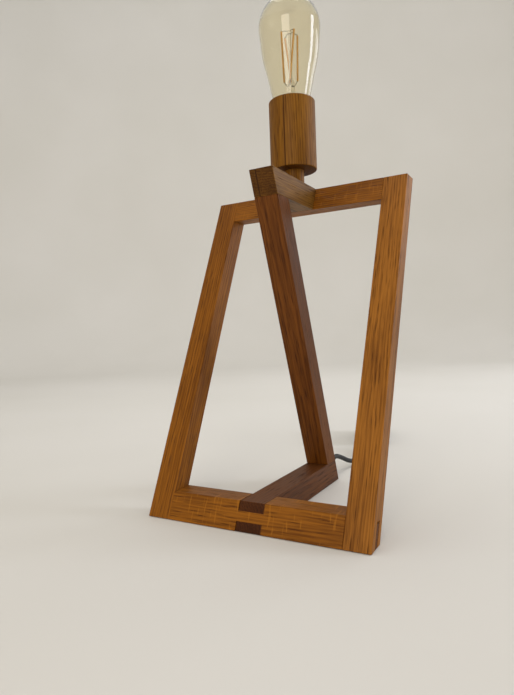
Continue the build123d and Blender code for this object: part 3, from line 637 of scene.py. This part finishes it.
class LAMP_OT_cord_fittings(bpy.types.Operator):
    """The cord's strain reliefs, the strap round the hank, and what they are moulded from."""

    bl_idname = "lamp.cord_fittings"
    bl_label = "Cord fittings"

    def execute(self, context):
        rubber = speckled("soft_moulded_rubber", "#17171A", "#0E0E10", 0.62, 0.5, 0.04)
        mesh = relief_mesh("strain_sleeve", EXIT, RELIEF_HEADING, 20 * MM, 10.5 * MM, 8.4 * MM, 4)
        keep("strain_sleeve", mesh, rubber, "root", ["strain_relief"])
        start = PLUG_REAR - ALONG * 7.5 * MM
        mesh = relief_mesh("plug_sleeve", start, ALONG, 7.5 * MM, 8.6 * MM, 11 * MM, 2)
        keep("plug_sleeve", mesh, rubber, "root", ["plug_relief"])

        # A woven strap pulled round the hank's waist.
        webbing, tree, shader = new_material("woven_nylon_strap")
        place = node(tree, "ShaderNodeTexCoord")
        turned = mapped(tree, place.outputs["Object"], turn=(0, 0, -HEADING))
        weave = node(tree, "ShaderNodeTexChecker", {"Vector": turned}, Scale=1 / WEAVE)
        weave.inputs["Color1"].default_value = linear("#1C1C1F")
        weave.inputs["Color2"].default_value = linear("#2A2A2E")
        tree.links.new(weave.outputs["Color"], shader.inputs["Base Color"])
        shader.inputs["Roughness"].default_value = 0.85
        bumped(tree, shader, weave.outputs["Fac"], 0.15)
        half, low, high = STRAP_HALF, STRAP_LOW, STRAP_HIGH
        rounds = [((half, high), 0), ((-half, high), 90), ((-half, low), 180), ((half, low), 270)]
        loops = []
        for inset in (0.0, STRAP_THICK):
            loop = []
            for (b, z), start in rounds:
                lift = STRAP_CORNER if z == low else -STRAP_CORNER
                middle = (b - math.copysign(STRAP_CORNER, b), z + lift)
                loop += quarter(middle, STRAP_CORNER - inset, start, start + 90, 5)
            loops.append(loop)
        bm = bmesh.new()
        rings = []
        for ahead, k in ((-1, 0), (-1, 1), (1, 1), (1, 0)):
            rings.append([bm.verts.new(on_hank(ahead * STRAP_WIDE / 2, b, z)) for b, z in loops[k]])
        skin(bm, rings)
        keep("hank_strap", mesh_from(bm, "hank_strap"), webbing, "root", ["hank_tie"])
        return {"FINISHED"}


# ======================================================================== switch and plug
def rib_tree():
    """A straight row of slim rounded ribs between two points."""
    sockets = [
        ("Start", "NodeSocketVector"),
        ("Step", "NodeSocketVector"),
        ("Count", "NodeSocketInt"),
        ("Size", "NodeSocketVector"),
        ("Turn", "NodeSocketFloat"),
        ("Finish", "NodeSocketMaterial"),
    ]
    tree, given, output = geometry_tree("grip_ribs", sockets)
    links = {"Count": given.outputs["Count"], "Start Location": given.outputs["Start"]}
    row = node(tree, "GeometryNodeMeshLine", links, mode="OFFSET")
    tree.links.new(given.outputs["Step"], row.inputs["Offset"])
    rib = node(tree, "GeometryNodeMeshUVSphere", Segments=16, Rings=8, Radius=0.5)
    turn = node(tree, "ShaderNodeCombineXYZ", {"Z": given.outputs["Turn"]})
    links = {"Points": row.outputs["Mesh"], "Instance": rib.outputs["Mesh"]}
    links.update({"Rotation": turn.outputs["Vector"], "Scale": given.outputs["Size"]})
    placed = node(tree, "GeometryNodeInstanceOnPoints", links)
    close_tree(tree, placed.outputs["Instances"], given, output)
    return tree


SWITCH_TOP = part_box("switch_cover")[1].z
SWITCH_MIDDLE = SWITCH_NEAR + ALONG * (SWITCH_LONG / 2)


class LAMP_OT_switch_and_plug(bpy.types.Operator):
    """The in-line switch and the two-pin plug: moulded cases, grip ribs, plated pins."""

    bl_idname = "lamp.switch_and_plug"
    bl_label = "Switch and plug"

    def execute(self, context):
        case = speckled("moulded_black_plastic", "#1B1B1D", "#121214", 0.5, 0.45, 0.03)
        rocker = speckled("glossy_black_plastic", "#161618", "#101012", 0.25, 0.45, 0.01)
        plated = speckled("nickel_plated_brass", "#C9C3B6", "#B0A998", 0.22, 0.3, 0.004, metallic=1.0)
        steel = speckled("zinc_plated_steel", "#B9BBBC", "#9A9DA0", 0.35, 0.3, 0.006, metallic=1.0)
        brass = speckled("rolled_brass", "#C9A057", "#A9803B", 0.3, 0.4, 0.006, metallic=1.0)
        for name in ("switch_base", "switch_cover", "cord_clamps", "plug_body", "pin_sleeves"):
            finish_node(name, case)
        finish_node("switch_rocker", rocker)
        finish_node("plug_pins", plated)
        for name in ("rocker_pin", "case_screws", "threaded_nipple", "lock_washer", "lock_nut"):
            finish_node(name, steel)
        for name in ("switch_terminals", "terminal_screws", "centre_contact", "side_contact"):
            finish_node(name, brass)
        finish_node("threaded_shell", brass)

        ribs = rib_tree()
        middle = Vector((SWITCH_MIDDLE.x, SWITCH_MIDDLE.y, SWITCH_TOP - 0.1 * MM))
        for side, name in ((-1, "switch_ribs_near"), (1, "switch_ribs_far")):
            start = middle + ALONG * (side * 20 - 4) * MM
            mesh = realised(
                name, ribs, Start=start, Step=ALONG * 2 * MM, Count=5,
                Size=Vector((1.0, 13.0, 1.0)) * MM, Turn=HEADING, Finish=case,
            )
            keep(name, mesh, case, "root", smooth=60)
        for side, name in ((-1, "plug_ribs_right"), (1, "plug_ribs_left")):
            start = PLUG_REAR + ALONG * 17 * MM + LEFT * (side * 17.6) * MM
            mesh = realised(
                name, ribs, Start=start, Step=ALONG * 2.2 * MM, Count=6,
                Size=Vector((1.1, 1.0, 9.0)) * MM, Turn=HEADING, Finish=case,
            )
            keep(name, mesh, case, "root", smooth=60)
        return {"FINISHED"}


# ======================================================================== oak pieces
COVER_GLUE_X = 1.8 * MM             # the cover is turned from two boards glued here
ARM_GLUE_X = -5.75 * MM             # where the arm's narrow strip is glued on
FRAME_WAY = (0, math.sin(FRAME_LEAN), math.cos(FRAME_LEAN))
LEG_WAY = (0, -math.sin(LEG_LEAN), math.cos(LEG_LEAN))


class LAMP_OT_oak_frame(bpy.types.Operator):
    """Each oak member with its own board, its grain along its length."""

    bl_idname = "lamp.oak_frame"
    bl_label = "Oak frame"

    def execute(self, context):
        look = context.scene.lamp_look
        boards = [
            ("left_leg", look.frame_oak, FRAME_WAY, (60, 95, 10), 0.0),
            # The right leg takes the paler heartwood, painted light for the light and sheen falling on it
            # from the right.
            ("right_leg", look.right_leg_painted_light_oak, FRAME_WAY, (-95, 70, 300), 0.0),
            ("front_rail", look.frame_oak, (1, 0, 0), (20, 55, 160), 0.5),
            ("top_rail", look.frame_oak, (1, 0, 0), (70, 30, 90), 0.28),
            ("base_rail", look.base_oak, (0, 1, 0), (90, -50, 40), 0.0),
            ("centre_leg", look.centre_oak, LEG_WAY, (45, 80, 500), 0.0),
            ("centre_leg_strip", look.centre_oak, LEG_WAY, (85, -40, 700), 0.0),
            ("top_arm", look.arm_oak, (0, 1, 0), (-60, 45, 130), 0.0),
            ("top_arm_strip", look.arm_oak, (0, 1, 0), (30, 75, 220), 0.0),
        ]
        for name, heartwood, grain, pith, rays in boards:
            glued_at = ARM_GLUE_X if name.startswith("top_arm") else None
            finish_node(name, oiled_oak("oiled_oak_" + name, heartwood, grain, pith, rays, glued_at))
        beech = oiled_oak("raw_beech_dowel", "#CDA877", (0, 0, 1), (15, 20, 30), 0.4)
        for name in ("foot_dowels", "head_dowels", "arm_dowels"):
            finish_node(name, beech)
        return {"FINISHED"}


class LAMP_OT_turned_holder(bpy.types.Operator):
    """The turned oak neck and cover, and the lampholder inside it."""

    bl_idname = "lamp.turned_holder"
    bl_label = "Turned holder"

    def execute(self, context):
        look = context.scene.lamp_look
        oak = oiled_oak("turned_oak_cover", look.cover_oak, UP, (35, 60, 20), glued_at=COVER_GLUE_X)
        radius = (COVER_HIGH.x - COVER_LOW.x) / 2
        low, high = COVER_LOW.z, COVER_HIGH.z
        soft, wall, floor, hole = 1.2 * MM, 3.4 * MM, 8 * MM, 5.2 * MM
        outline = quarter((radius - soft, low + soft), soft, -90, 0)
        outline += quarter((radius - soft, high - soft), soft, 0, 90)
        outline += quarter((radius - wall + soft, high - soft), soft, 90, 180)
        outline += [(radius - wall, low + floor), (hole, low + floor), (hole, low)]
        mesh = turned_mesh("turned_cover", outline)
        keep("turned_cover", mesh, oak, "root", ["holder_cover"])
        radius = (NECK_HIGH.x - NECK_LOW.x) / 2
        low, high = NECK_LOW.z, NECK_HIGH.z
        outline = [(radius, low), (radius, high), (hole, high), (hole, low)]
        neck = oiled_oak("turned_oak_neck", look.cover_oak, UP, (55, 20, 90))
        mesh = turned_mesh("turned_neck", outline, 64)
        keep("turned_neck", mesh, neck, "root", ["holder_neck"])

        phenolic = speckled("moulded_phenolic", "#1D1916", "#141110", 0.38, 0.5, 0.02)
        for name in ("holder_cup", "holder_sleeve"):
            finish_node(name, phenolic)
        finish_node("contact_block", speckled("glazed_porcelain", "#E9E4D8", "#DAD3C4", 0.15, 0.6, 0.01))
        finish_node("live_core", speckled("brown_core_pvc", "#5B3018", "#482410", 0.45, 0.5, 0.02))
        finish_node("neutral_core", speckled("blue_core_pvc", "#2350A8", "#1B3F88", 0.45, 0.5, 0.02))
        return {"FINISHED"}




# ======================================================================== bulb
GLASS_WALL = 0.9 * MM
BULB_RADIUS = (GLASS_HIGH.x - GLASS_LOW.x) / 2
WIDEST_Z = RIM_Z + 75 * MM
GLASS_FLANK = ((18.2, 0), (24, 25), (29.1, 47))     # radius and height above the cover's rim, mm
CAP_RADIUS = (CAP_HIGH.x - CAP_LOW.x) / 2
THREAD_PITCH = 3.629 * MM


def through(points, steps):
    """A smooth line through (radius, z) points, by cubic pieces whose slopes follow the neighbours."""
    line = []
    for i in range(len(points) - 1):
        before, one = Vector(points[max(i - 1, 0)]), Vector(points[i])
        two, after = Vector(points[i + 1]), Vector(points[min(i + 2, len(points) - 1)])
        span = two.y - one.y
        slope_one = (two - before) / max(two.y - before.y, 1e-9) * span
        slope_two = (after - one) / max(after.y - one.y, 1e-9) * span
        for k in range(steps):
            t = k / steps
            line.append(tuple(
                one * (2 * t ** 3 - 3 * t ** 2 + 1) + slope_one * (t ** 3 - 2 * t ** 2 + t)
                + two * (3 * t ** 2 - 2 * t ** 3) + slope_two * (t ** 3 - t ** 2)
            ))
    return line


def glass_line(inset):
    """The glass from its foot in the cap to its pole, drawn inwards by inset."""
    neck = CAP_RADIUS - 0.4 * MM - inset
    flank = [(radius * MM - inset, RIM_Z + rise * MM) for radius, rise in GLASS_FLANK]
    widest = (BULB_RADIUS - inset, WIDEST_Z)
    shoulder = (neck, CAP_HIGH.z + 0.2 * MM)
    line = [(neck, GLASS_LOW.z)] + through([shoulder, *flank, widest], 7)
    tall = GLASS_HIGH.z - inset - WIDEST_Z
    for i in range(25):
        angle = math.pi / 2 * i / 24
        line.append((widest[0] * math.cos(angle), WIDEST_Z + tall * math.sin(angle)))
    line[-1] = (0.0, line[-1][1])
    return line


def thread_tree():
    """A round-crested thread wound on a turned cap."""
    sockets = [
        ("Turns", "NodeSocketFloat"),
        ("Pitch", "NodeSocketFloat"),
        ("Radius", "NodeSocketFloat"),
        ("Crest", "NodeSocketFloat"),
        ("Foot", "NodeSocketVector"),
        ("Finish", "NodeSocketMaterial"),
    ]
    tree, given, output = geometry_tree("cap_thread", sockets)
    high = calc(tree, "MULTIPLY", given.outputs["Turns"], given.outputs["Pitch"])
    links = {"Rotations": given.outputs["Turns"], "Height": high}
    links.update({"Start Radius": given.outputs["Radius"], "End Radius": given.outputs["Radius"]})
    helix = node(tree, "GeometryNodeCurveSpiral", links, Resolution=64)
    crest = node(tree, "GeometryNodeCurvePrimitiveCircle", {"Radius": given.outputs["Crest"]}, Resolution=12)
    links = {"Curve": helix.outputs["Curve"], "Profile Curve": crest.outputs["Curve"]}
    wound = node(tree, "GeometryNodeCurveToMesh", links)
    wound.inputs["Fill Caps"].default_value = True
    placed = node(tree, "GeometryNodeTransform", {"Geometry": wound.outputs["Mesh"]})
    tree.links.new(given.outputs["Foot"], placed.inputs["Translation"])
    both = node(tree, "GeometryNodeJoinGeometry")
    tree.links.new(placed.outputs["Geometry"], both.inputs["Geometry"])
    tree.links.new(given.outputs["Geometry"], both.inputs["Geometry"])
    close_tree(tree, both.outputs["Geometry"], given, output)
    return tree


FILAMENTS, CHIPS, FILAMENT_RADIUS = 4, 64, 1.0 * MM
FILAMENT_LOW, FILAMENT_HIGH = RIM_Z + 22 * MM, RIM_Z + 70 * MM
RING_LOW, RING_HIGH, TWIST = 7.0 * MM, 9.5 * MM, math.radians(35)


def filament_ends(i):
    """Lower and upper end of one filament: the four lean round the stem like a loose cage."""
    turn = math.radians(20) + i * 2 * math.pi / FILAMENTS
    low = AXIS + Vector((RING_LOW * math.cos(turn), RING_LOW * math.sin(turn), FILAMENT_LOW))
    turn += TWIST
    high = AXIS + Vector((RING_HIGH * math.cos(turn), RING_HIGH * math.sin(turn), FILAMENT_HIGH))
    return low, high


def chip_tree():
    """A filament: a row of chips along a line under a soft round coat."""
    sockets = [
        ("Start", "NodeSocketVector"),
        ("End", "NodeSocketVector"),
        ("Chips", "NodeSocketInt"),
        ("Width", "NodeSocketFloat"),
        ("Finish", "NodeSocketMaterial"),
    ]
    tree, given, output = geometry_tree("filament_chips", sockets)
    links = {"Start": given.outputs["Start"], "End": given.outputs["End"]}
    line = node(tree, "GeometryNodeCurvePrimitiveLine", links)
    links = {"Curve": line.outputs["Curve"], "Count": given.outputs["Chips"]}
    places = node(tree, "GeometryNodeResampleCurve", links)
    chip = node(tree, "GeometryNodeMeshUVSphere", {"Radius": given.outputs["Width"]}, Segments=16, Rings=10)
    links = {"Points": places.outputs["Curve"], "Instance": chip.outputs["Mesh"]}
    row = node(tree, "GeometryNodeInstanceOnPoints", links)
    close_tree(tree, row.outputs["Instances"], given, output)
    return tree


class LAMP_OT_bulb(bpy.types.Operator):
    """The filament bulb: tinted glass, stem, four LED filaments, wires and screw cap."""

    bl_idname = "lamp.bulb"
    bl_label = "Filament bulb"

    def execute(self, context):
        look = context.scene.lamp_look
        outline = glass_line(0.0) + list(reversed(glass_line(GLASS_WALL)))
        amber = thin_glass("amber_tinted_glass", look.glass_tint)
        shell = turned_mesh("bulb_shell", outline, 128)
        keep("bulb_shell", shell, amber, "bulb", ["bulb_glass"], 80)

        foot, top = STEM_LOW.z, STEM_HIGH.z
        flare = [(0.0, foot), (11.4 * MM, foot), (11.4 * MM, foot + 1 * MM)]
        skirt, pinch = (4.2 * MM, RIM_Z + 8 * MM), (1.7 * MM, RIM_Z + 26 * MM)
        flare += through([(11.2 * MM, foot + 1.4 * MM), (6.0 * MM, foot + 9 * MM), skirt], 6)
        flare += through([skirt, (3.6 * MM, RIM_Z + 20 * MM), pinch], 6)
        flare += [(1.6 * MM, RIM_Z + 26 * MM), (1.3 * MM, top - 3.5 * MM)]
        flare += quarter((0, top - 2.2 * MM), 2.2 * MM, -50, 90, 10)
        flare[-1] = (0.0, top)
        clear = thin_glass("clear_stem_glass", "#F2EFE6")
        stem = turned_mesh("stem_glass", flare, 48, closed=False)
        keep("stem_glass", stem, clear, "bulb", ["glass_stem"], 80)

        phosphor, tree, shader = new_material("phosphor_in_silicone")
        place = node(tree, "ShaderNodeTexCoord")
        grain = noise(tree, place.outputs["Object"], 900.0)
        stops = [(0.3, linear("#E5A03C")), (0.7, linear("#FFCF78"))]
        tree.links.new(ramp(tree, grain.outputs["Fac"], stops), shader.inputs["Base Color"])
        shader.inputs["Roughness"].default_value = 0.4
        shader.inputs["Coat Weight"].default_value = 0.3
        chips = chip_tree()
        for i in range(FILAMENTS):
            name = f"filament_{i + 1}"
            low, high = filament_ends(i)
            mesh = realised(
                name, chips, Start=low, End=high, Chips=CHIPS, Width=FILAMENT_RADIUS, Finish=phosphor
            )
            stands_for = ["led_filaments"] if i == 0 else []
            keep(name, mesh, phosphor, "bulb", stands_for, 80)

        plated = speckled("nickel_plated_cap", "#C4BEB0", "#A8A190", 0.25, 0.5, 0.006, metallic=1.0)
        deep = CAP_RADIUS - 0.9 * MM
        inside = deep - 0.3 * MM
        tip = CAP_RADIUS - 5 * MM
        foot = CAP_LOW.z
        top = CAP_HIGH.z
        lip, inner_lip = CAP_RADIUS - 0.1 * MM, CAP_RADIUS - 0.4 * MM
        wall = [(tip, foot), (deep - 1 * MM, foot + 2.6 * MM), (deep, foot + 4.2 * MM), (deep, top - 5 * MM)]
        wall += [(lip, top - 4 * MM), (lip, top), (inner_lip, top), (inner_lip, top - 4 * MM)]
        wall += [(inside, top - 5.2 * MM), (inside, foot + 4.4 * MM), (tip, foot + 0.4 * MM)]
        wall_mesh = turned_mesh("cap_wall", wall, 96)
        mesh = realised(
            "screw_cap", thread_tree(), wall_mesh, Turns=3.4, Pitch=THREAD_PITCH, Radius=deep - 0.1 * MM,
            Crest=0.95 * MM, Foot=AXIS + UP * (foot + 4.6 * MM), Finish=plated,
        )
        keep("screw_cap", mesh, plated, "bulb", ["bulb_cap"], 50)
        finish_node("filament_wires", plated)
        finish_node("cap_insulator", speckled("black_vitrite_glass", "#141416", "#0D0D10", 0.12, 0.6, 0.01))
        finish_node("cap_button", speckled("tin_solder", "#A7A9AB", "#85888B", 0.4, 0.8, 0.05, metallic=1.0))
        finish_node("driver_board", speckled("glass_fibre_board", "#2F6B3A", "#235229", 0.35, 0.5, 0.02))
        return {"FINISHED"}


# ======================================================================== panel, order of work
class LAMP_PT_panel(bpy.types.Panel):
    """The lamp's settings and its pieces."""

    bl_label = "Oak table lamp"
    bl_idname = "LAMP_PT_panel"
    bl_space_type = "VIEW_3D"
    bl_region_type = "UI"
    bl_category = "Lamp"

    def draw(self, context):
        for key in LampLook.__annotations__:
            self.layout.prop(context.scene.lamp_look, key)
        for piece in PIECES:
            self.layout.operator(piece.bl_idname)


PIECES = (
    LAMP_OT_stage,
    LAMP_OT_cord,
    LAMP_OT_cord_fittings,
    LAMP_OT_switch_and_plug,
    LAMP_OT_oak_frame,
    LAMP_OT_turned_holder,
    LAMP_OT_bulb,
)


def register():
    for kind in (LampLook, *PIECES, LAMP_PT_panel):
        bpy.utils.register_class(kind)
    bpy.types.Scene.lamp_look = bpy.props.PointerProperty(type=LampLook)


def unregister():
    del bpy.types.Scene.lamp_look
    for kind in reversed((LampLook, *PIECES, LAMP_PT_panel)):
        bpy.utils.unregister_class(kind)


def main():
    register()
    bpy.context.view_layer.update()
    for piece in PIECES:
        group, action = piece.bl_idname.split(".")
        getattr(getattr(bpy.ops, group), action)()


if __name__ == "__main__":
    main()
